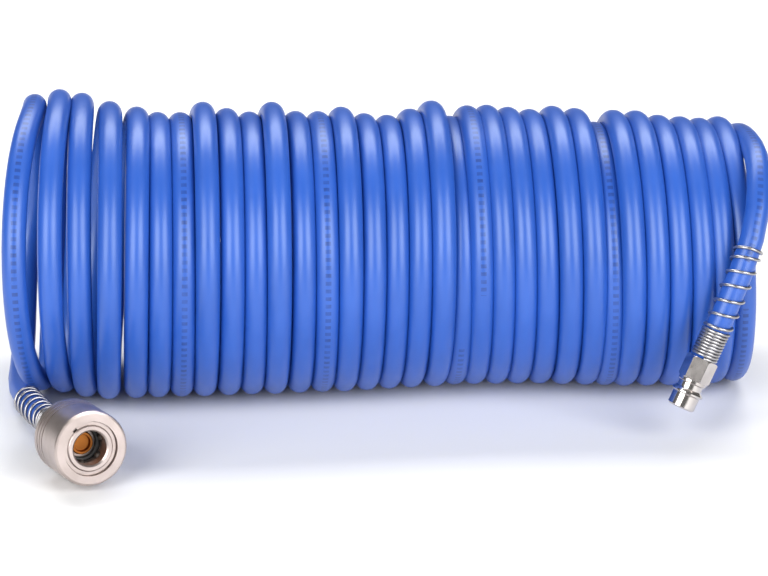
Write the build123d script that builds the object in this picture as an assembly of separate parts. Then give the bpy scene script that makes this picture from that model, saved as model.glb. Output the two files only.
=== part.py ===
from build123d import *
import math
import os

# A recoil air hose: one long blue tube wound into a tight coil that lies on its side, with a
# quick coupler on its left end and a plug on its right end. Millimetres, +X along the coil
# from the coupler's end to the plug's end, -Y towards the front, +Z up, floor at z = 0.

# ---- hose -------------------------------------------------------------------------------
HOSE_R = 4.0
HOSE_BORE_R = 2.5
TURNS = 32.0
COIL_LEFT_X = -116.0
COIL_RIGHT_X = 116.0
COIL_LEFT_R = 50.3  # outer radius of the coil at the coupler's end
COIL_RIGHT_R = 46.1  # and at the plug's end, where it is wound tighter
COUPLER_TAIL_GAP = 4.6  # from the coil's end to the middle of the tail that lies against it
PLUG_TAIL_GAP = 4.9  # the same at the plug's end, which moves away along +X
COUPLER_TAIL_OUT = 1.6  # the tail's step away from the coil where it reaches the floor
COUPLER_TAIL_BEND = 76.0  # its last bend, behind the coupler's face
PLUG_TAIL_OUT_REAR = 1.0  # the same steps at the plug's end, over the top of the coil
PLUG_TAIL_OUT_FRONT = 3.2
PLUG_TAIL_BEND = 62.0  # its last bend, behind the plug's tip
TAIL_CORNER = math.radians(22.5)  # half the turn of the tail's corners, an eighth of a round each

# ---- quick coupler, along its own axis: 0 at the sleeve's front face, minus is rearwards ---
COUPLER_TILT = 7.6  # degrees that the mouth points up
COUPLER_TURN = 20.0  # degrees that the mouth points to the right of straight ahead
SLEEVE_R = 12.2
SLEEVE_LENGTH = 20.0
COUPLER_FACE_X = -98.3
COUPLER_FACE_Y = -91.2
NOSE_R = 7.6
NOSE_FACE = -0.5
SOCKET_R = 5.6
SOCKET_RELIEF_R = 5.85
GUIDE_CLEARANCE = 0.08
SLEEVE_TRAVEL = 2.5
BALL_R = 1.35
BALL_COUNT = 6
BALL_Z = -6.4
BALL_LOCKED_R = 6.22  # radius of the circle through the balls' centres while they lock
BALL_TRAVEL = 0.8
BALL_HOLE_R = 1.45
BALL_SEAT_R = 1.177  # narrow inner end of each ball's conical seat, which keeps the ball from falling in
BALL_SEAT_INNER = 5.2  # where that seat starts and ends, from the coupler's axis
BALL_SEAT_OUTER = 6.4
FLANGE_R = 9.45
FLANGE_FRONT = -15.5
BODY_REAR = -23.0
POPPET_R = 3.8
POPPET_FACE = -8.6
ADAPTER_REAR = -27.2

# ---- what each hose end has: nut, spring guard and barb ---------------------------------
NUT_ACROSS_FLATS = 9.4
NUT_TURN = 20.0  # degrees from a corner on the plane's x axis
NUT_LENGTH = 7.7
NUT_CHAMFER = 0.5
NUT_THREAD_R = 4.3
BARB_R = 2.45
BARB_LENGTH = 13.0
GUARD_WIRE_R = 0.5
GUARD_R = 4.55  # of the wire's middle
GUARD_RIBBED_LENGTH = 8.3
GUARD_OPEN_LENGTH = 29.4
GUARD_PITCH = 4.8
RIB_PITCH = 1.04
RIB_WIRE_R = 0.47
GUARD_CLEARANCE = 0.03
HOSE_CLEARANCE = 0.05
BOSS_LENGTH = 3.6  # threaded boss under the nut, where the hose butts against it

# ---- plug, along its own axis: 0 at the tip's end face, minus is rearwards ---------------
PLUG_TIP_X = 94.1
PLUG_TIP_Y = -62.0
PLUG_TIP_Z = 11.8
PLUG_UP = (0.432, 0.205, 0.878)  # the way from the tip up to the hose
PLUG_TIP_R = 4.6
PLUG_RIDGE_R = 5.3
PLUG_NECK_R = 4.2
PLUG_NUT_FRONT = -9.9
PLUG_BORE_R = 2.8

tilt = math.radians(COUPLER_TILT)
turn = math.radians(COUPLER_TURN)
coupler_out = Vector(math.cos(tilt) * math.sin(turn), -math.cos(tilt) * math.cos(turn), math.sin(tilt))
coupler_face = Vector(
    COUPLER_FACE_X,
    COUPLER_FACE_Y,
    SLEEVE_R * math.cos(tilt) + SLEEVE_LENGTH * math.sin(tilt),
)
coupler_plane = Plane(
    origin=coupler_face,
    x_dir=(math.cos(turn), math.sin(turn), 0),
    z_dir=coupler_out,
)
plug_up = Vector(*PLUG_UP).normalized()
plug_tip = Vector(PLUG_TIP_X, PLUG_TIP_Y, PLUG_TIP_Z)
plug_plane = Plane(origin=plug_tip, x_dir=(1, 0, -plug_up.X / plug_up.Z), z_dir=-plug_up)

nodes = {}


def turned(points):
    """A solid turned about +Z from its (radius, height) outline."""
    outline = Polyline(*[(r, 0, z) for r, z in points], close=True)
    return revolve(make_face(outline), axis=Axis.Z)


def ring(inner, outer, low, high):
    return turned([(inner, low), (outer, low), (outer, high), (inner, high)])


def coil_spring(wire_r, radius, pitch, low, high):
    """An open helical spring about +Z, from low to high between its wire's ends."""
    path = Helix(pitch=pitch, height=high - low, radius=radius)
    section = Plane(origin=path @ 0, z_dir=path % 0) * Circle(wire_r)
    return Pos(0, 0, low) * sweep(section, path=path)


def hose_tube(name, points):
    """A plain hose along straight runs joined by arcs as large as each corner's runs allow."""
    corners = []
    for a, b, c in zip(points, points[1:], points[2:]):
        half_turn = math.radians((b - a).get_angle(c - b)) / 2
        corners.append(0.45 * min((b - a).length, (c - b).length) / math.tan(half_turn))
    path = FilletPolyline(*points, radius=corners)
    start = Plane(origin=path @ 0, z_dir=path % 0)
    outer = sweep(start * Circle(HOSE_R), path=path)
    tube = outer - sweep(start * Circle(HOSE_BORE_R), path=path)
    section = math.pi * (HOSE_R**2 - HOSE_BORE_R**2)
    print(f"{name}: arc radii {[round(r) for r in corners]} mm, length {path.length:.0f} mm")
    print(f"{name}: volume {tube.volume:.0f}, section times length {section * path.length:.0f}")
    return tube


def barb_outline(rear, front):
    """The stepped outline of a hose barb, from its front (at the boss) to its rear end."""
    steps = 4
    length = (front - rear) / steps
    points = []
    for i in range(steps):
        top = front - i * length
        points.append((BARB_R - 0.35, top))
        points.append((BARB_R, top - length * 0.75))
        points.append((BARB_R, top - length))
    return points


def hose_nut(front):
    """A hexagonal union nut with chamfered corners, threaded at its front, plain at its rear."""
    rear = front - NUT_LENGTH
    corner_r = NUT_ACROSS_FLATS / math.sqrt(3)
    bar = extrude(Rot(0, 0, NUT_TURN) * RegularPolygon(radius=corner_r, side_count=6), amount=NUT_LENGTH)
    blank = turned(
        [
            (0, rear),
            (corner_r - NUT_CHAMFER, rear),
            (corner_r, rear + NUT_CHAMFER),
            (corner_r, front - NUT_CHAMFER),
            (corner_r - NUT_CHAMFER, front),
            (0, front),
        ]
    )
    hole = ring(0, NUT_THREAD_R, front - BOSS_LENGTH - 0.2, front + 1)
    hole += ring(0, HOSE_R + HOSE_CLEARANCE, rear - 1, front - BOSS_LENGTH)
    return (Pos(0, 0, rear) * bar & blank) - hole


def spring_guard(front):
    """A kink guard: close-wound at its front, next to the nut, and open to its rear."""
    ribbed_rear = front - GUARD_RIBBED_LENGTH
    inner = HOSE_R + GUARD_CLEARANCE
    ribs = ring(inner, inner + RIB_WIRE_R / 2, ribbed_rear, front)
    count = round(GUARD_RIBBED_LENGTH / RIB_PITCH)
    for i in range(count):
        middle = front - (i + 0.5) * RIB_PITCH
        wire = Plane.XZ * Pos(GUARD_R - RIB_WIRE_R, middle) * Circle(RIB_WIRE_R)
        ribs += revolve(wire, axis=Axis.Z)
    ribs -= ring(0, inner, ribbed_rear - 1, front + 1)
    open_rear = ribbed_rear - GUARD_OPEN_LENGTH
    wound = coil_spring(GUARD_WIRE_R, GUARD_R, GUARD_PITCH, open_rear + GUARD_WIRE_R, ribbed_rear + 0.4)
    return ribs + wound


# ---- hose: the coil's envelope and the two straightened tails -----------------------------
def hose_coil():
    """The coil as one closed tube of the true outer shape, lying on its lower side. Its wall is
    as thick as makes it hold the same volume of material as the hose that is wound in it."""
    length = COIL_RIGHT_X - COIL_LEFT_X
    mean_r = (COIL_LEFT_R + COIL_RIGHT_R) / 2 - HOSE_R
    hose_length = TURNS * 2 * math.pi * mean_r
    hose_volume = hose_length * math.pi * (HOSE_R**2 - HOSE_BORE_R**2)
    wall = hose_volume / (2 * math.pi * (mean_r + HOSE_R - 2.0) * length)
    print(f"hose in the coil {hose_length:.0f} mm, envelope's wall {wall:.2f} mm")
    tube = turned(
        [
            (COIL_LEFT_R - wall, 0),
            (COIL_LEFT_R, 0),
            (COIL_RIGHT_R, length),
            (COIL_RIGHT_R - wall, length),
        ]
    )
    taper = math.atan((COIL_LEFT_R - COIL_RIGHT_R) / length)
    along = Vector(math.cos(taper), 0, -math.sin(taper))
    left_middle = (COIL_LEFT_X, 0, COIL_LEFT_R * math.cos(taper))
    return Plane(origin=left_middle, x_dir=(0, 1, 0), z_dir=along) * tube


def coupler_axis(rearwards):
    return coupler_face - coupler_out * rearwards


def plug_axis(rearwards):
    return plug_tip + plug_up * rearwards


# Each tail leaves the coil as a part of its last turn, lying against the coil's end face.
left_r = COIL_LEFT_R - HOSE_R
left_x = COIL_LEFT_X - COUPLER_TAIL_GAP
left_corner = left_r * math.tan(TAIL_CORNER)
coupler_tail_points = [
    Vector(left_x, left_r, COIL_LEFT_R),
    Vector(left_x, left_r, COIL_LEFT_R - left_corner),
    Vector(left_x - COUPLER_TAIL_OUT, left_corner, HOSE_R),
    coupler_axis(COUPLER_TAIL_BEND),
    coupler_axis(-ADAPTER_REAR + BOSS_LENGTH),
]
right_r = COIL_RIGHT_R - HOSE_R
right_x = COIL_RIGHT_X + PLUG_TAIL_GAP
right_corner = right_r * math.tan(TAIL_CORNER)
plug_tail_points = [
    Vector(right_x, right_r, COIL_RIGHT_R),
    Vector(right_x, right_r, COIL_RIGHT_R + right_corner),
    Vector(right_x + PLUG_TAIL_OUT_REAR, right_corner, COIL_RIGHT_R + right_r),
    Vector(right_x + PLUG_TAIL_OUT_FRONT, -right_corner, COIL_RIGHT_R + right_r),
    plug_axis(PLUG_TAIL_BEND),
    plug_axis(-PLUG_NUT_FRONT + BOSS_LENGTH),
]
nodes["hose_coil"] = hose_coil()
nodes["hose_tail_coupler"] = hose_tube("hose_tail_coupler", coupler_tail_points)
nodes["hose_tail_plug"] = hose_tube("hose_tail_plug", plug_tail_points)


# ---- quick coupler ----------------------------------------------------------------------
RING_RECESS_R = 8.95
RING_RECESS = -2.0  # floor of the recess in the sleeve's front face
RING_OUTER_R = 8.65
RING_GROOVE_R = 7.05
SPRING_POCKET = -10.0
SEAL_FRONT = -8.2
SEAL_REAR = -10.0
SEAL_GROOVE_R = 6.2
SEAT = -12.2  # face that the valve's seal closes on
CHAMBER_R = 6.2
THREAD_FRONT = -17.5
THREAD_R = 7.0
GASKET_THICKNESS = 0.5
VALVE_FLANGE_R = 5.0
ADAPTER_BORE_R = 5.3
ADAPTER_ACROSS_FLATS = 14.0


def ball_angle(i):
    return 360 / BALL_COUNT * (i + 0.25)


def coupler_body():
    body = turned(
        [
            (SOCKET_R + 0.5, NOSE_FACE),
            (NOSE_R - 0.4, NOSE_FACE),
            (NOSE_R, NOSE_FACE - 0.4),
            (NOSE_R, RING_RECESS + 0.95),
            (RING_GROOVE_R, RING_RECESS + 0.95),
            (RING_GROOVE_R, RING_RECESS),
            (NOSE_R, RING_RECESS),
            (NOSE_R, FLANGE_FRONT),
            (FLANGE_R, FLANGE_FRONT),
            (FLANGE_R, BODY_REAR + 0.5),
            (FLANGE_R - 0.5, BODY_REAR),
            (THREAD_R, BODY_REAR),
            (THREAD_R, THREAD_FRONT),
            (CHAMBER_R, THREAD_FRONT),
            (CHAMBER_R, SEAT),
            (POPPET_R + GUIDE_CLEARANCE, SEAT),
            (POPPET_R + GUIDE_CLEARANCE, SEAL_REAR),
            (SEAL_GROOVE_R, SEAL_REAR),
            (SEAL_GROOVE_R, SEAL_FRONT),
            (SOCKET_RELIEF_R, SEAL_FRONT),
            (SOCKET_RELIEF_R, BALL_Z + 1.7),
            (SOCKET_R, BALL_Z + 1.7),
            (SOCKET_R, NOSE_FACE - 0.5),
        ]
    )
    for i in range(BALL_COUNT):
        from_inside = (Align.CENTER, Align.CENTER, Align.MIN)
        cone = Cone(BALL_SEAT_R, BALL_HOLE_R, BALL_SEAT_OUTER - BALL_SEAT_INNER, align=from_inside)
        hole = Cylinder(BALL_HOLE_R, NOSE_R - BALL_SEAT_OUTER + 1, align=from_inside)
        seat = Pos(0, 0, BALL_SEAT_INNER) * cone + Pos(0, 0, BALL_SEAT_OUTER) * hole
        body -= Pos(0, 0, BALL_Z) * Rot(0, 0, ball_angle(i)) * Rot(0, 90, 0) * seat
    return body


def release_sleeve():
    bore = NOSE_R + GUIDE_CLEARANCE
    ramp_r = 7.72  # over the balls while they lock
    ramp_slope = BALL_TRAVEL / SLEEVE_TRAVEL
    ramp_rear = BALL_Z - (ramp_r - bore) / ramp_slope
    ramp_front = BALL_Z + SLEEVE_TRAVEL
    relief_r = ramp_r + BALL_TRAVEL
    sleeve = turned(
        [
            (RING_RECESS_R, 0),
            (SLEEVE_R - 0.8, 0),
            (SLEEVE_R - 0.25, -0.25),
            (SLEEVE_R, -0.8),
            (SLEEVE_R, -SLEEVE_LENGTH + 0.4),
            (SLEEVE_R - 0.4, -SLEEVE_LENGTH),
            (FLANGE_R + 0.1, -SLEEVE_LENGTH),
            (FLANGE_R + 0.1, SPRING_POCKET),
            (bore, SPRING_POCKET),
            (bore, ramp_rear),
            (relief_r, ramp_front),
            (relief_r, RING_RECESS - 0.5),
            (bore, RING_RECESS - 0.5),
            (bore, RING_RECESS),
            (RING_RECESS_R, RING_RECESS),
        ]
    )
    for middle in (-17.2, -15.0, -12.8):
        sleeve -= ring(SLEEVE_R - 0.3, SLEEVE_R + 1, middle - 0.25, middle + 0.25)
    return sleeve


def retaining_ring():
    """A wire snap ring with a gap, in the groove of the nose: the sleeve's forward stop."""
    closed = ring(RING_GROOVE_R + 0.03, RING_OUTER_R, RING_RECESS + 0.05, RING_RECESS + 0.9)
    gap = Pos(0, NOSE_R + 1, RING_RECESS) * Box(1.6, 4, 4)
    return closed - Rot(0, 0, 35) * gap


def rear_adapter():
    rear = ADAPTER_REAR - BOSS_LENGTH
    barb_rear = rear - BARB_LENGTH
    front = THREAD_FRONT - GASKET_THICKNESS
    core = turned(
        [
            (ADAPTER_BORE_R, front),
            (THREAD_R - 0.05, front),
            (THREAD_R - 0.05, BODY_REAR),
            (FLANGE_R - 2.0, BODY_REAR),
            (FLANGE_R - 2.0, BODY_REAR - 1.0),
            (NUT_THREAD_R - 0.05, ADAPTER_REAR),
            (NUT_THREAD_R - 0.05, rear),
            *barb_outline(barb_rear, rear),
            (BARB_R - 0.6, barb_rear),
            (BARB_R - 0.6, BODY_REAR - 0.5),
            (ADAPTER_BORE_R, BODY_REAR - 0.5),
        ]
    )
    hexagon = RegularPolygon(radius=ADAPTER_ACROSS_FLATS / math.sqrt(3), side_count=6)
    wrench = extrude(hexagon, amount=BODY_REAR - ADAPTER_REAR)
    wrench = Pos(0, 0, ADAPTER_REAR) * wrench - ring(0, NUT_THREAD_R - 0.5, -40, 0)
    return core + chamfer(wrench.edges().filter_by(GeomType.LINE).sort_by(Axis.Z)[:6], 0.4)


def o_ring(middle_r, wire_r, middle):
    return revolve(Plane.XZ * Pos(middle_r, middle) * Circle(wire_r), axis=Axis.Z)


def valve_poppet():
    return turned(
        [
            (0, POPPET_FACE - 1.2),
            (2.6, POPPET_FACE - 1.2),
            (2.9, POPPET_FACE),
            (POPPET_R - 0.3, POPPET_FACE),
            (POPPET_R, POPPET_FACE - 0.3),
            (POPPET_R, SEAT - 0.8),
            (VALVE_FLANGE_R, SEAT - 0.8),
            (VALVE_FLANGE_R, SEAT - 2.0),
            (2.8, SEAT - 2.0),
            (2.8, SEAT - 3.6),
            (0, SEAT - 3.6),
        ]
    )


coupler_parts = {
    "coupler_body": coupler_body(),
    "release_sleeve": release_sleeve(),
    "sleeve_retaining_ring": retaining_ring(),
    "sleeve_spring": coil_spring(0.35, 8.55, 1.45, FLANGE_FRONT + 0.4, SPRING_POCKET - 0.4),
    "plug_seal_ring": o_ring(5.37, 0.8, (SEAL_FRONT + SEAL_REAR) / 2),
    "valve_poppet": valve_poppet(),
    "valve_seal": ring(POPPET_R, VALVE_FLANGE_R, SEAT - 0.8, SEAT - 0.05),
    "valve_spring": coil_spring(0.3, 3.5, 1.6, BODY_REAR - 0.15, SEAT - 2.35),
    "body_gasket": ring(ADAPTER_BORE_R + 0.2, THREAD_R - 0.1, THREAD_FRONT - GASKET_THICKNESS, THREAD_FRONT),
    "rear_adapter": rear_adapter(),
    "coupler_hose_nut": hose_nut(ADAPTER_REAR),
    "coupler_spring_guard": spring_guard(ADAPTER_REAR - NUT_LENGTH),
}
for i in range(BALL_COUNT):
    ball = Pos(0, 0, BALL_Z) * Rot(0, 0, ball_angle(i)) * Pos(BALL_LOCKED_R, 0, 0) * Sphere(BALL_R)
    coupler_parts[f"locking_ball_{i + 1}"] = ball
for name, solid in coupler_parts.items():
    nodes[name] = coupler_plane * solid


# ---- plug -------------------------------------------------------------------------------
def plug_nipple():
    boss_rear = PLUG_NUT_FRONT - BOSS_LENGTH
    barb_rear = boss_rear - BARB_LENGTH
    return turned(
        [
            (PLUG_BORE_R + 0.4, 0),
            (PLUG_TIP_R - 0.5, 0),
            (PLUG_TIP_R, -0.5),
            (PLUG_TIP_R, -4.7),
            (PLUG_RIDGE_R, -5.2),
            (PLUG_RIDGE_R, -5.7),
            (PLUG_NECK_R, -6.8),
            (PLUG_NECK_R, -8.6),
            (PLUG_TIP_R + 0.2, -9.0),
            (PLUG_TIP_R + 0.2, PLUG_NUT_FRONT),
            (NUT_THREAD_R - 0.05, PLUG_NUT_FRONT),
            (NUT_THREAD_R - 0.05, boss_rear),
            *barb_outline(barb_rear, boss_rear),
            (BARB_R - 0.6, barb_rear),
            (BARB_R - 0.6, boss_rear),
            (PLUG_BORE_R, PLUG_NUT_FRONT),
            (PLUG_BORE_R, -0.4),
        ]
    )


plug_parts = {
    "plug_nipple": plug_nipple(),
    "plug_hose_nut": hose_nut(PLUG_NUT_FRONT),
    "plug_spring_guard": spring_guard(PLUG_NUT_FRONT - NUT_LENGTH),
}
for name, solid in plug_parts.items():
    nodes[name] = plug_plane * solid

# ---- origin under the middle of the whole object, then one STEP file per node -----------------
boxes = [solid.bounding_box() for solid in nodes.values()]
low = Vector(min(b.min.X for b in boxes), min(b.min.Y for b in boxes), min(b.min.Z for b in boxes))
high = Vector(max(b.max.X for b in boxes), max(b.max.Y for b in boxes), max(b.max.Z for b in boxes))
origin = Vector((low.X + high.X) / 2, (low.Y + high.Y) / 2, low.Z)
print("origin at", origin)
os.makedirs("parts", exist_ok=True)
for name, solid in nodes.items():
    export_step(Pos(-origin) * solid, f"parts/{name}.step")
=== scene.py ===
import math

import bpy
import numpy as np
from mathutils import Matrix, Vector


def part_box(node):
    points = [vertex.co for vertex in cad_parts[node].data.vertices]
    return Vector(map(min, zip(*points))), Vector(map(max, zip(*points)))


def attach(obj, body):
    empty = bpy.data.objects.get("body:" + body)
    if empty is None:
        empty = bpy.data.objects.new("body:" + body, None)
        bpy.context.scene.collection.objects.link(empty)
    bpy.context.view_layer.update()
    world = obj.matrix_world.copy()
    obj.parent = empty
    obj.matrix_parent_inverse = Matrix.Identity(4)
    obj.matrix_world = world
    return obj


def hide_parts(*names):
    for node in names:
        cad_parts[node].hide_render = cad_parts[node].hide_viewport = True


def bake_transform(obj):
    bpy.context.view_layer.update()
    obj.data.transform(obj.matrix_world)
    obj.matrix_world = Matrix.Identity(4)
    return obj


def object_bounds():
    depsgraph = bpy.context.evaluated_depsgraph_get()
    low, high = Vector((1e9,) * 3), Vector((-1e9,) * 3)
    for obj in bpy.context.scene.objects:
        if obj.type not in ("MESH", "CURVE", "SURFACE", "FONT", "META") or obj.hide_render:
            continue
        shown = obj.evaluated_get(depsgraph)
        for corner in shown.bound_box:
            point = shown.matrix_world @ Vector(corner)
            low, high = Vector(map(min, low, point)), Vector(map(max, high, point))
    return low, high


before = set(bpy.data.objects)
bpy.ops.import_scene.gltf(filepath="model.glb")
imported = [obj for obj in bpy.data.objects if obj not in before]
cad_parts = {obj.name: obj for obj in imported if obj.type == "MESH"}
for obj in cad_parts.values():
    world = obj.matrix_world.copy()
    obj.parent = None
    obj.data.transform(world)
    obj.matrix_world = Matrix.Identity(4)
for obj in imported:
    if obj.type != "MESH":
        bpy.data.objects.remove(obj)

# A recoil air hose on a pale studio floor: one long blue tube in a tight coil, a quick coupler
# on its left end and a plug on its right end. Metres, in the row frame of the CAD part.

MM = 0.001
cad_low, cad_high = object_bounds()
coil_low, coil_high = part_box("hose_coil")

# ---- the hose's route ---------------------------------------------------------------------
HOSE_R = 4.0 * MM
TURNS = 32
POINTS_PER_TURN = 16
ROUTE_STEPS = 4  # points read from the spline, for each of its control points
# A quadratic spline runs this share of the way out to its control points.
SPLINE_REACH = (6 + 2 * math.cos(2 * math.pi / POINTS_PER_TURN)) / 8
COIL_Y = (coil_low.y + coil_high.y) / 2
COIL_Z = (coil_low.z + coil_high.z) / 2
FIRST_FRONT_X = -113.57 * MM  # where the first turn would pass the front if it didn't bow

# The route's control points outside the coil. The first is the hose's cut end in the coupler's
# nut, and the last is its cut end in the plug's nut.
COUPLER_TAIL = [
    (-0.10884, -0.03999, 0.01066),
    (-0.12350, 0.00211, 0.00469),
    (-0.12157, 0.04171, 0.00400),
    (-0.12020, 0.06883, 0.03112),
]
PLUG_TAIL = [
    (0.12140, 0.05990, 0.06100),
    (0.12200, 0.04750, 0.07600),
    (0.12260, 0.02500, 0.08500),
    (0.12340, -0.01000, 0.08560),
    (0.11760, -0.03200, 0.06000),
    (0.09983, -0.03671, 0.02366),
]


def between(n, knots):
    """The value at turn n, on straight lines from each (turn, value) knot to the next."""
    turns, values = zip(*knots)
    return float(np.interp(n, turns, values))


# How the turns differ from an even coil. Turns count from 0 at the coupler's end, and the tables
# are in millimetres. Lists are knots for between(), and a dict speaks of single turns.
# Outer diameters: wide where the turns fan out at the coupler's end, tighter at the plug's.
DIAMETERS = [(0, 101.7), (1, 103), (3, 99.8), (5, 95.8), (14, 94.4), (20, 94.6), (22, 93), (25, 94)]
DIAMETERS += [(27, 93.2), (28, 91.6), (31, 90)]
# Turns that stand proud of their neighbours, or are tucked in between them.
PROUD = {7: 3.6, 8: 1.2, 10: 3.4, 13: 1.5, 14: -0.9, 15: -1.8, 17: 2.4, 18: -3.5, 23: 1.0, 25: -5.0}
# From a turn to the next at the front. Under 8 mm, crowded turns press into each other.
PITCH = 7.65
PITCHES = {0: 7.4, 1: 7.0, 2: 8.1, 3: 9.2, 4: 7.0, 7: 8.1, 10: 8.1, 17: 6.5, 18: 6.4, 19: 7.0}
PITCHES.update({20: 7.2, 21: 7.4, 24: 6.5, 25: 6.3, 29: 6.7, 30: 7.1})
# How far the coupler's tail holds up the undersides of the first turns.
HELD_UP = {0: 2.2, 1: 1.2}
# How far the coil's middle wanders to the back, along its length.
WANDER = [(0, 2), (2, 3), (3, -2), (6, -2), (14, -1), (19, 2.5), (22, 1.5)]
WANDER += [(26, -3), (30, -4.5), (31, -1.5)]
# How much further right a turn passes underneath than on top.
LEANS = [(0, 2.5), (1, 0.5), (2, -0.4), (3, -2.8), (6, -2), (12, -1), (16, -2)]
LEANS += [(20, 1), (24, 1.5), (28, 2), (30, 3), (31, 3.5)]
# The first turns bow out towards the coupler at their front.
BOWS = [(0, 8.6), (1, 4.5), (2, 2.0), (3, 0.5), (4, 1.0), (5, 0), (31, 0)]
RISE_LEFT = 6.0 * MM  # how far left of the first turn the hose rises to it, at the back


def turn_radius(n):
    """Radius of a turn's centreline, in metres."""
    return (between(n, DIAMETERS) + PROUD.get(n, 0.0)) / 2 * MM - HOSE_R


def turn_x(n):
    """Where turn n passes the front, before its bow."""
    if n < 0:
        return FIRST_FRONT_X - RISE_LEFT
    return FIRST_FRONT_X + MM * sum(PITCHES.get(k, PITCH) for k in range(n))


def coil_points():
    """Control points of the coil's 32 turns, from low at the back of the coupler's end to the
    same place at the plug's end."""
    quarter = POINTS_PER_TURN // 4
    first = -quarter
    last = (TURNS - 1) * POINTS_PER_TURN + 3 * quarter
    return [coil_point(*divmod(i, POINTS_PER_TURN)) for i in range(first, last + 1)]


def coil_point(n, step):
    """One control point of turn n, which goes over the top, down the front and back underneath."""
    angle = 2 * math.pi * step / POINTS_PER_TURN
    x, radius = x_and_radius(n, angle)
    middle_y = COIL_Y + between(n + step / POINTS_PER_TURN, WANDER) * MM
    held_up = HELD_UP.get(n, 0.0) * MM * (1 - math.cos(angle)) / 2
    reach = radius / SPLINE_REACH
    z = HOSE_R + radius + reach * math.cos(angle) + held_up
    return x, middle_y - reach * math.sin(angle), z


def x_and_radius(n, angle):
    """Down the front a turn leans and bows. Up the back it moves on to the next turn's place
    and radius."""
    turn = min(max(n, 0), TURNS - 1)
    after = min(max(n + 1, 0), TURNS - 1)
    lean = between(turn, LEANS) * MM
    radius = turn_radius(turn)
    if angle <= math.pi:
        share = (1 - math.cos(angle)) / 2
        bow = between(turn, BOWS) * MM * math.sin(angle)
        return turn_x(n) + lean * (share - 0.5) - bow, radius
    share = (1 - math.cos(angle - math.pi)) / 2
    low = turn_x(n) + lean / 2
    high = turn_x(n + 1) - between(after, LEANS) * MM / 2
    return low + (high - low) * share, radius + (turn_radius(after) - radius) * share


def spline_line(name, points):
    """Points along one open quadratic NURBS spline with these control points."""
    curve = bpy.data.curves.new(name, "CURVE")
    curve.dimensions = "3D"
    curve.resolution_u = ROUTE_STEPS
    spline = curve.splines.new("NURBS")
    spline.points.add(len(points) - 1)
    for control, place in zip(spline.points, points):
        control.co = (*place, 1.0)
    spline.order_u = 3
    spline.use_endpoint_u = True
    line = bpy.data.objects.new(name, curve)
    bpy.context.scene.collection.objects.link(line)
    mesh = bpy.data.meshes.new_from_object(line)
    found = np.array([v.co for v in mesh.vertices])
    bpy.data.objects.remove(line)
    bpy.data.meshes.remove(mesh)
    return found


MAP_NAME = "length_by_turn"


class Path:
    """A line with its length along it and a frame that doesn't twist about it."""

    def __init__(self, points):
        self.points = points
        steps = np.linalg.norm(np.diff(points, axis=0), axis=1)
        self.along = np.concatenate([[0.0], np.cumsum(steps)])
        self.length = float(self.along[-1])
        tangents = np.gradient(points, axis=0)
        self.tangents = tangents / np.linalg.norm(tangents, axis=1)[:, None]
        sides = [self.first_side(self.tangents[0])]
        for tangent in self.tangents[1:]:
            side = sides[-1] - tangent * (sides[-1] @ tangent)
            sides.append(side / np.linalg.norm(side))
        self.sides = np.array(sides)
        self.ups = np.cross(self.tangents, self.sides)

    @staticmethod
    def first_side(tangent):
        side = np.cross(tangent, (0.0, 0.0, 1.0))
        return side / np.linalg.norm(side)

    def at(self, distances):
        """Places, side vectors and up vectors at these distances along the line."""
        found = []
        for rows in (self.points, self.sides, self.ups):
            columns = [np.interp(distances, self.along, rows[:, k]) for k in range(3)]
            found.append(np.stack(columns, axis=1))
        return found


def tube(name, path, radius, segments):
    """A tube round every point of a path, with its ends capped and a map of length by turn."""
    count = len(path.points)
    angles = np.arange(segments) * 2 * math.pi / segments
    across, upward = np.cos(angles)[None, :, None], np.sin(angles)[None, :, None]
    ring = path.sides[:, None] * across + path.ups[:, None] * upward
    places = path.points[:, None] + ring * radius
    faces = []
    for near in range(0, (count - 1) * segments, segments):
        far = near + segments
        for j in range(segments):
            k = (j + 1) % segments
            faces.append((near + j, near + k, far + k, far + j))
    faces.append(tuple(range(segments))[::-1])
    faces.append(tuple(range((count - 1) * segments, count * segments)))
    mesh = bpy.data.meshes.new(name)
    mesh.from_pydata(places.reshape(-1, 3).tolist(), [], faces)
    mesh.shade_smooth()
    write_map(mesh, path, segments)
    made = bpy.data.objects.new(name, mesh)
    bpy.context.scene.collection.objects.link(made)
    return made


def write_map(mesh, path, segments):
    """The mesh's map: metres along the tube, and share of a turn round it from the side that
    faces away from the coil's middle."""
    layer = mesh.uv_layers.new(name=MAP_NAME)
    values = np.zeros((len(mesh.loops), 2))
    outward = outward_share(path)
    loop = 0
    for i in range(len(path.points) - 1):
        low, high = path.along[i], path.along[i + 1]
        for j in range(segments):
            left, right = j / segments, (j + 1) / segments
            near = ((low, left - outward[i]), (low, right - outward[i]))
            far = ((high, right - outward[i + 1]), (high, left - outward[i + 1]))
            values[loop : loop + 4] = near + far
            loop += 4
    layer.data.foreach_set("uv", values.ravel())


def outward_share(path):
    """Where each ring's outward side lies round it, as a share of a turn."""
    out = path.points - np.array((0.0, COIL_Y, COIL_Z))
    out[:, 0] = 0.0
    across, upward = (out * path.sides).sum(axis=1), (out * path.ups).sum(axis=1)
    return np.unwrap(np.arctan2(upward, across)) / (2 * math.pi)


# ---- the hose -----------------------------------------------------------------------------
HOSE_SEGMENTS = 24


def make_hose():
    route = COUPLER_TAIL + coil_points() + PLUG_TAIL
    path = Path(spline_line("hose_route", route))
    hose = tube("hose", path, HOSE_R, HOSE_SEGMENTS)
    stretch_with_coil(hose)
    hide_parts("hose_coil", "hose_tail_coupler", "hose_tail_plug")
    return hose, path


def stretch_with_coil(hose):
    """Bakes the hose's placement into its mesh."""
    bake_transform(hose)


hose, hose_path = make_hose()


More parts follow.
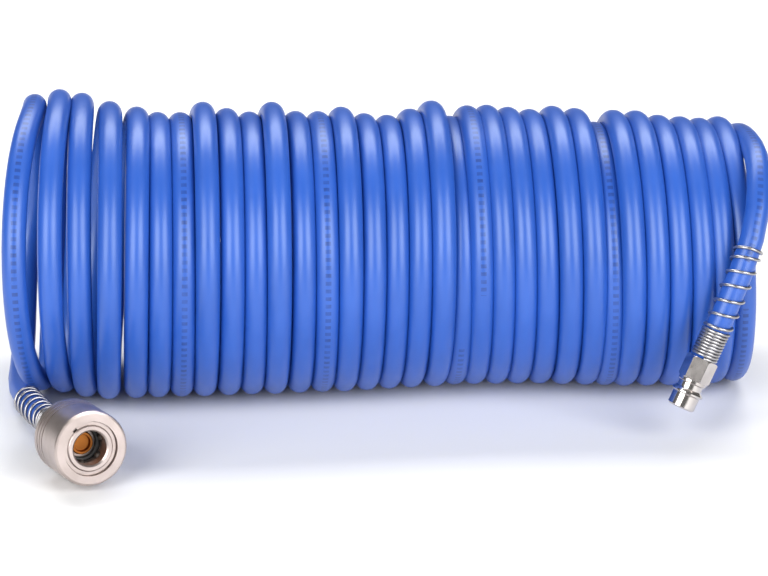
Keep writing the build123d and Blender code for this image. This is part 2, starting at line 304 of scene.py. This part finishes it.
# ---- spring guards ------------------------------------------------------------------------
NUT_REAR = 4.1 * MM  # from the hose's cut end to the rear face of its nut
GUARD_R = 4.55 * MM
CLOSE_GUARD_R = 4.25 * MM  # the close turns grip the hose
WIRE_R = 0.5 * MM
CLOSE_PITCH = 1.04
OPEN_PITCHES = (1.5, 4.6, 4.75, 5.25, 4.85, 4.75, 3.05)
WIRE_STEPS = 24  # points in one turn of the wire
WIRE_SEGMENTS = 10
FLAT_STEPS = 8  # the wire ends square to the hose


def guard_wire(name, path, from_start, first_angle, close_turns):
    """A kink guard: one wire wound close next to the nut and open further on, round the hose
    as it bends. from_start says that the nut is at the path's own start."""
    pitches = np.array([CLOSE_PITCH] * close_turns + list(OPEN_PITCHES)) * MM
    ends = np.concatenate([[0.0], np.cumsum(pitches)])
    turns = np.arange(len(pitches) * WIRE_STEPS + FLAT_STEPS) / WIRE_STEPS
    distances = NUT_REAR + WIRE_R + np.interp(turns, np.arange(len(ends)), ends)
    if not from_start:
        distances = path.length - distances
    places, sides, ups = path.at(distances)
    angles = 2 * math.pi * (turns + first_angle) * (1 if from_start else -1)
    ring = sides * np.cos(angles)[:, None] + ups * np.sin(angles)[:, None]
    radii = np.interp(turns, (close_turns - 1, close_turns + 1), (CLOSE_GUARD_R, GUARD_R))
    wire = tube(name, Path(places + ring * radii[:, None]), WIRE_R, WIRE_SEGMENTS)
    return wire


coupler_guard = guard_wire(
    "coupler_guard_wire", hose_path, from_start=True, first_angle=0.1, close_turns=5
)
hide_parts("coupler_spring_guard")
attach(coupler_guard, "hose_end")
plug_guard = guard_wire(
    "plug_guard_wire", hose_path, from_start=False, first_angle=0.56, close_turns=9
)
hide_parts("plug_spring_guard")
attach(plug_guard, "plug_end")


# ---- materials ----------------------------------------------------------------------------
def new_material(name, color, metallic, roughness):
    made = bpy.data.materials.new(name)
    made.use_nodes = True
    shader = made.node_tree.nodes["Principled BSDF"]
    shader.inputs["Base Color"].default_value = (*color, 1.0)
    shader.inputs["Metallic"].default_value = metallic
    shader.inputs["Roughness"].default_value = roughness
    return made, made.node_tree, shader


def noise(tree, scale, detail=4.0):
    """A noise texture in object space."""
    place = tree.nodes.new("ShaderNodeTexCoord")
    texture = tree.nodes.new("ShaderNodeTexNoise")
    texture.inputs["Scale"].default_value = scale
    texture.inputs["Detail"].default_value = detail
    tree.links.new(place.outputs["Object"], texture.inputs["Vector"])
    return texture.outputs["Fac"]


def ramp(tree, value, low, high, colors):
    """Two colours, with the change between them from low to high."""
    made = tree.nodes.new("ShaderNodeValToRGB")
    made.color_ramp.elements[0].position = low
    made.color_ramp.elements[1].position = high
    made.color_ramp.elements[0].color = (*colors[0], 1.0)
    made.color_ramp.elements[1].color = (*colors[1], 1.0)
    tree.links.new(value, made.inputs["Fac"])
    return made.outputs["Color"]


def bump(tree, shader, height, strength, distance):
    made = tree.nodes.new("ShaderNodeBump")
    made.inputs["Strength"].default_value = strength
    made.inputs["Distance"].default_value = distance
    tree.links.new(height, made.inputs["Height"])
    tree.links.new(made.outputs["Normal"], shader.inputs["Normal"])


def rough_between(tree, shader, value, low, high):
    made = tree.nodes.new("ShaderNodeMapRange")
    made.inputs["To Min"].default_value = low
    made.inputs["To Max"].default_value = high
    tree.links.new(value, made.inputs["Value"])
    tree.links.new(made.outputs["Result"], shader.inputs["Roughness"])


def calculate(tree, operation, value, amount):
    """One sum on a value, with a fixed number or another value."""
    made = tree.nodes.new("ShaderNodeMath")
    made.operation = operation
    tree.links.new(value, made.inputs[0])
    if isinstance(amount, float):
        made.inputs[1].default_value = amount
    else:
        tree.links.new(amount, made.inputs[1])
    return made.outputs["Value"]


# Rows of plain dashes along the hose's outward side, where a maker's line would be printed.
DASH_ROW_EVERY = 1.72  # metres of hose from row to row
DASH_ROW_SHIFT = 1.557  # puts the first row on the first turn's front
DASH_ROW_LENGTH = 0.25
DASH_EVERY = 2.4 * MM
DASH_SHARE = 0.5  # how much of that is ink
DASH_HALF_WIDTH = 0.038  # as a share of a turn round the hose
LEAST_INK = 0.15  # added to the wear, which goes from 0 to 1
DASH_COLOR = (0.007, 0.034, 0.19)
HOSE_COLOR = (0.016, 0.081, 0.40)
HOSE_CLOUDS = [(0.014, 0.075, 0.375), (0.019, 0.089, 0.425)]


def dashes(tree):
    """The ink's strength: worn inside a dash, and nought elsewhere."""
    map_node = tree.nodes.new("ShaderNodeUVMap")
    map_node.uv_map = MAP_NAME
    split = tree.nodes.new("ShaderNodeSeparateXYZ")
    tree.links.new(map_node.outputs["UV"], split.inputs["Vector"])
    along, round_it = split.outputs["X"], split.outputs["Y"]
    shifted = calculate(tree, "ADD", along, DASH_ROW_SHIFT)
    past_row = calculate(tree, "MODULO", shifted, DASH_ROW_EVERY)
    in_row = calculate(tree, "LESS_THAN", past_row, DASH_ROW_LENGTH)
    past_dash = calculate(tree, "MODULO", along, DASH_EVERY)
    in_dash = calculate(tree, "LESS_THAN", past_dash, DASH_EVERY * DASH_SHARE)
    from_line = calculate(tree, "PINGPONG", round_it, 0.5)
    on_line = calculate(tree, "LESS_THAN", from_line, DASH_HALF_WIDTH)
    inside = calculate(tree, "MULTIPLY", calculate(tree, "MULTIPLY", in_row, in_dash), on_line)
    worn = calculate(tree, "ADD", noise(tree, 350.0, detail=1.0), LEAST_INK)
    return calculate(tree, "MULTIPLY", inside, worn)


def hose_material():
    """Glossy blue polyurethane: faintly cloudy, softly uneven, with worn dashes of dark ink."""
    made, tree, shader = new_material("hose_blue", HOSE_COLOR, 0.0, 0.38)
    color = ramp(tree, noise(tree, 40.0, detail=2.0), 0.3, 0.7, HOSE_CLOUDS)
    mixed = tree.nodes.new("ShaderNodeMix")
    mixed.data_type = "RGBA"
    tree.links.new(dashes(tree), mixed.inputs["Factor"])
    tree.links.new(color, mixed.inputs["A"])
    mixed.inputs["B"].default_value = (*DASH_COLOR, 1.0)
    tree.links.new(mixed.outputs["Result"], shader.inputs["Base Color"])
    rough_between(tree, shader, noise(tree, 90.0, detail=2.0), 0.32, 0.44)
    shader.inputs["IOR"].default_value = 1.52
    shader.inputs["Specular Tint"].default_value = (0.9, 1.0, 1.0, 1.0)
    shader.inputs["Specular IOR Level"].default_value = 0.65
    bump(tree, shader, noise(tree, 60.0, detail=1.0), 0.15, 0.1 * MM)
    return made


def metal_material(name, color, dark, roughness):
    """Plated or plain metal with slightly uneven colour and gloss."""
    made, tree, shader = new_material(name, color, 1.0, roughness)
    stained = ramp(tree, noise(tree, 120.0), 0.35, 0.65, [dark, color])
    tree.links.new(stained, shader.inputs["Base Color"])
    rough_between(tree, shader, noise(tree, 400.0), roughness * 0.8, roughness * 1.3)
    bump(tree, shader, noise(tree, 900.0), 0.05, 0.05 * MM)
    return made


def rubber_material(name, color):
    made, tree, shader = new_material(name, color, 0.0, 0.55)
    rough_between(tree, shader, noise(tree, 700.0), 0.45, 0.7)
    bump(tree, shader, noise(tree, 1500.0), 0.2, 0.05 * MM)
    return made


MATERIALS = {
    "hose": hose_material(),
    "nickel": metal_material("nickel_satin", (0.52, 0.445, 0.42), (0.43, 0.365, 0.34), 0.36),
    "nickel_bright": metal_material("nickel_bright", (0.66, 0.62, 0.60), (0.56, 0.52, 0.50), 0.15),
    "spring_steel": metal_material("spring_steel", (0.46, 0.45, 0.46), (0.34, 0.33, 0.34), 0.28),
    # The locking balls are painted near black. This is painted shade for their place inside the
    # coupler's bore, not the colour of bright steel.
    "ball_steel": metal_material("ball_steel", (0.12, 0.10, 0.09), (0.08, 0.07, 0.06), 0.6),
    # The poppet's brass keeps its own orange tone but is darkened as painted shade for its place
    # deep inside the coupler.
    "brass": metal_material("brass_dark_painted_shade", (0.38, 0.14, 0.03), (0.26, 0.09, 0.02), 0.36),
    "seal": rubber_material("seal_rubber", (0.02, 0.02, 0.02)),
    "gasket": rubber_material("gasket_fibre", (0.18, 0.04, 0.03)),
}
NODE_MATERIALS = {
    "release_sleeve": "nickel",
    "coupler_body": "nickel",
    "rear_adapter": "nickel",
    "coupler_hose_nut": "nickel_bright",
    "plug_hose_nut": "nickel_bright",
    "plug_nipple": "nickel_bright",
    # The retaining ring takes the darker satin nickel instead of the bright. This is painted shade
    # for the groove it sits in.
    "sleeve_retaining_ring": "nickel",
    "sleeve_spring": "spring_steel",
    "valve_spring": "spring_steel",
    "valve_poppet": "brass",
    "valve_seal": "seal",
    "plug_seal_ring": "seal",
    "body_gasket": "gasket",
}


def paint(piece, kind):
    piece.data.materials.clear()
    piece.data.materials.append(MATERIALS[kind])


paint(hose, "hose")
paint(coupler_guard, "spring_steel")
paint(plug_guard, "spring_steel")
for node_name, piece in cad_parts.items():
    kind = "ball_steel" if node_name.startswith("locking_ball") else NODE_MATERIALS.get(node_name)
    if kind:
        paint(piece, kind)


# ---- floor, light and camera --------------------------------------------------------------
FLOOR_REACH = 6.0  # wide enough for the stretched hose
LIGHT_DISTANCE = 2.6


def make_floor():
    mesh = bpy.data.meshes.new("floor")
    reach = FLOOR_REACH
    corners = [(-reach, -reach, 0), (reach, -reach, 0), (reach, reach, 0), (-reach, reach, 0)]
    mesh.from_pydata(corners, [], [(0, 1, 2, 3)])
    floor = bpy.data.objects.new("floor", mesh)
    bpy.context.scene.collection.objects.link(floor)
    paper, _, _ = new_material("floor_paper", (0.86, 0.86, 0.86), 0.0, 0.7)
    mesh.materials.append(paper)


def softbox(name, azimuth, elevation, size, power):
    """An area light that faces the coil. Azimuth 0 is straight in front, 90 to the right."""
    turn, rise = math.radians(azimuth), math.radians(elevation)
    level = math.cos(rise)
    way = Vector((math.sin(turn) * level, -math.cos(turn) * level, math.sin(rise)))
    data = bpy.data.lights.new(name, "AREA")
    data.shape = "RECTANGLE"
    data.size, data.size_y = size
    data.energy = power
    light = bpy.data.objects.new(name, data)
    light.location = Vector((0, 0, (cad_low.z + cad_high.z) / 2)) + way * LIGHT_DISTANCE
    light.rotation_mode = "QUATERNION"
    light.rotation_quaternion = (-way).to_track_quat("-Z", "Y")
    light.visible_camera = False
    bpy.context.scene.collection.objects.link(light)


def make_lights():
    """Two tall softboxes in front leave a pale streak each on every turn, and a wide one above
    and behind lights the tops."""
    softbox("front_left", azimuth=-40, elevation=25, size=(1.8, 2.0), power=68)
    softbox("front_right", azimuth=40, elevation=25, size=(1.8, 2.0), power=68)
    softbox("top_back", azimuth=180, elevation=56, size=(3.0, 1.2), power=72)
    world = bpy.data.worlds.new("studio")
    bpy.context.scene.world = world
    world.use_nodes = True
    sky = world.node_tree.nodes["Background"]
    sky.inputs["Color"].default_value = (1, 1, 1, 1)
    sky.inputs["Strength"].default_value = 0.15


CAMERA_PLACE = Vector((-0.08857, -1.20062, 0.47962))
CAMERA_ELEVATION = math.radians(20.0)
CAMERA_TURN = math.radians(4.2)
SENSOR_WIDTH_MM = 36
LENS_MM = 180.5
CLIP_END = 20  # past the floor's far edge


def make_camera():
    data = bpy.data.cameras.new("camera")
    data.sensor_width = SENSOR_WIDTH_MM
    data.lens = LENS_MM
    data.clip_end = CLIP_END
    camera = bpy.data.objects.new("camera", data)
    level = math.cos(CAMERA_ELEVATION)
    across, inward = level * math.sin(CAMERA_TURN), level * math.cos(CAMERA_TURN)
    ahead = Vector((across, inward, -math.sin(CAMERA_ELEVATION)))
    camera.location = CAMERA_PLACE
    camera.rotation_mode = "QUATERNION"
    camera.rotation_quaternion = ahead.to_track_quat("-Z", "Y")
    bpy.context.scene.collection.objects.link(camera)
    bpy.context.scene.camera = camera


make_floor()
make_lights()
make_camera()
bpy.context.scene.view_settings.view_transform = "Standard"
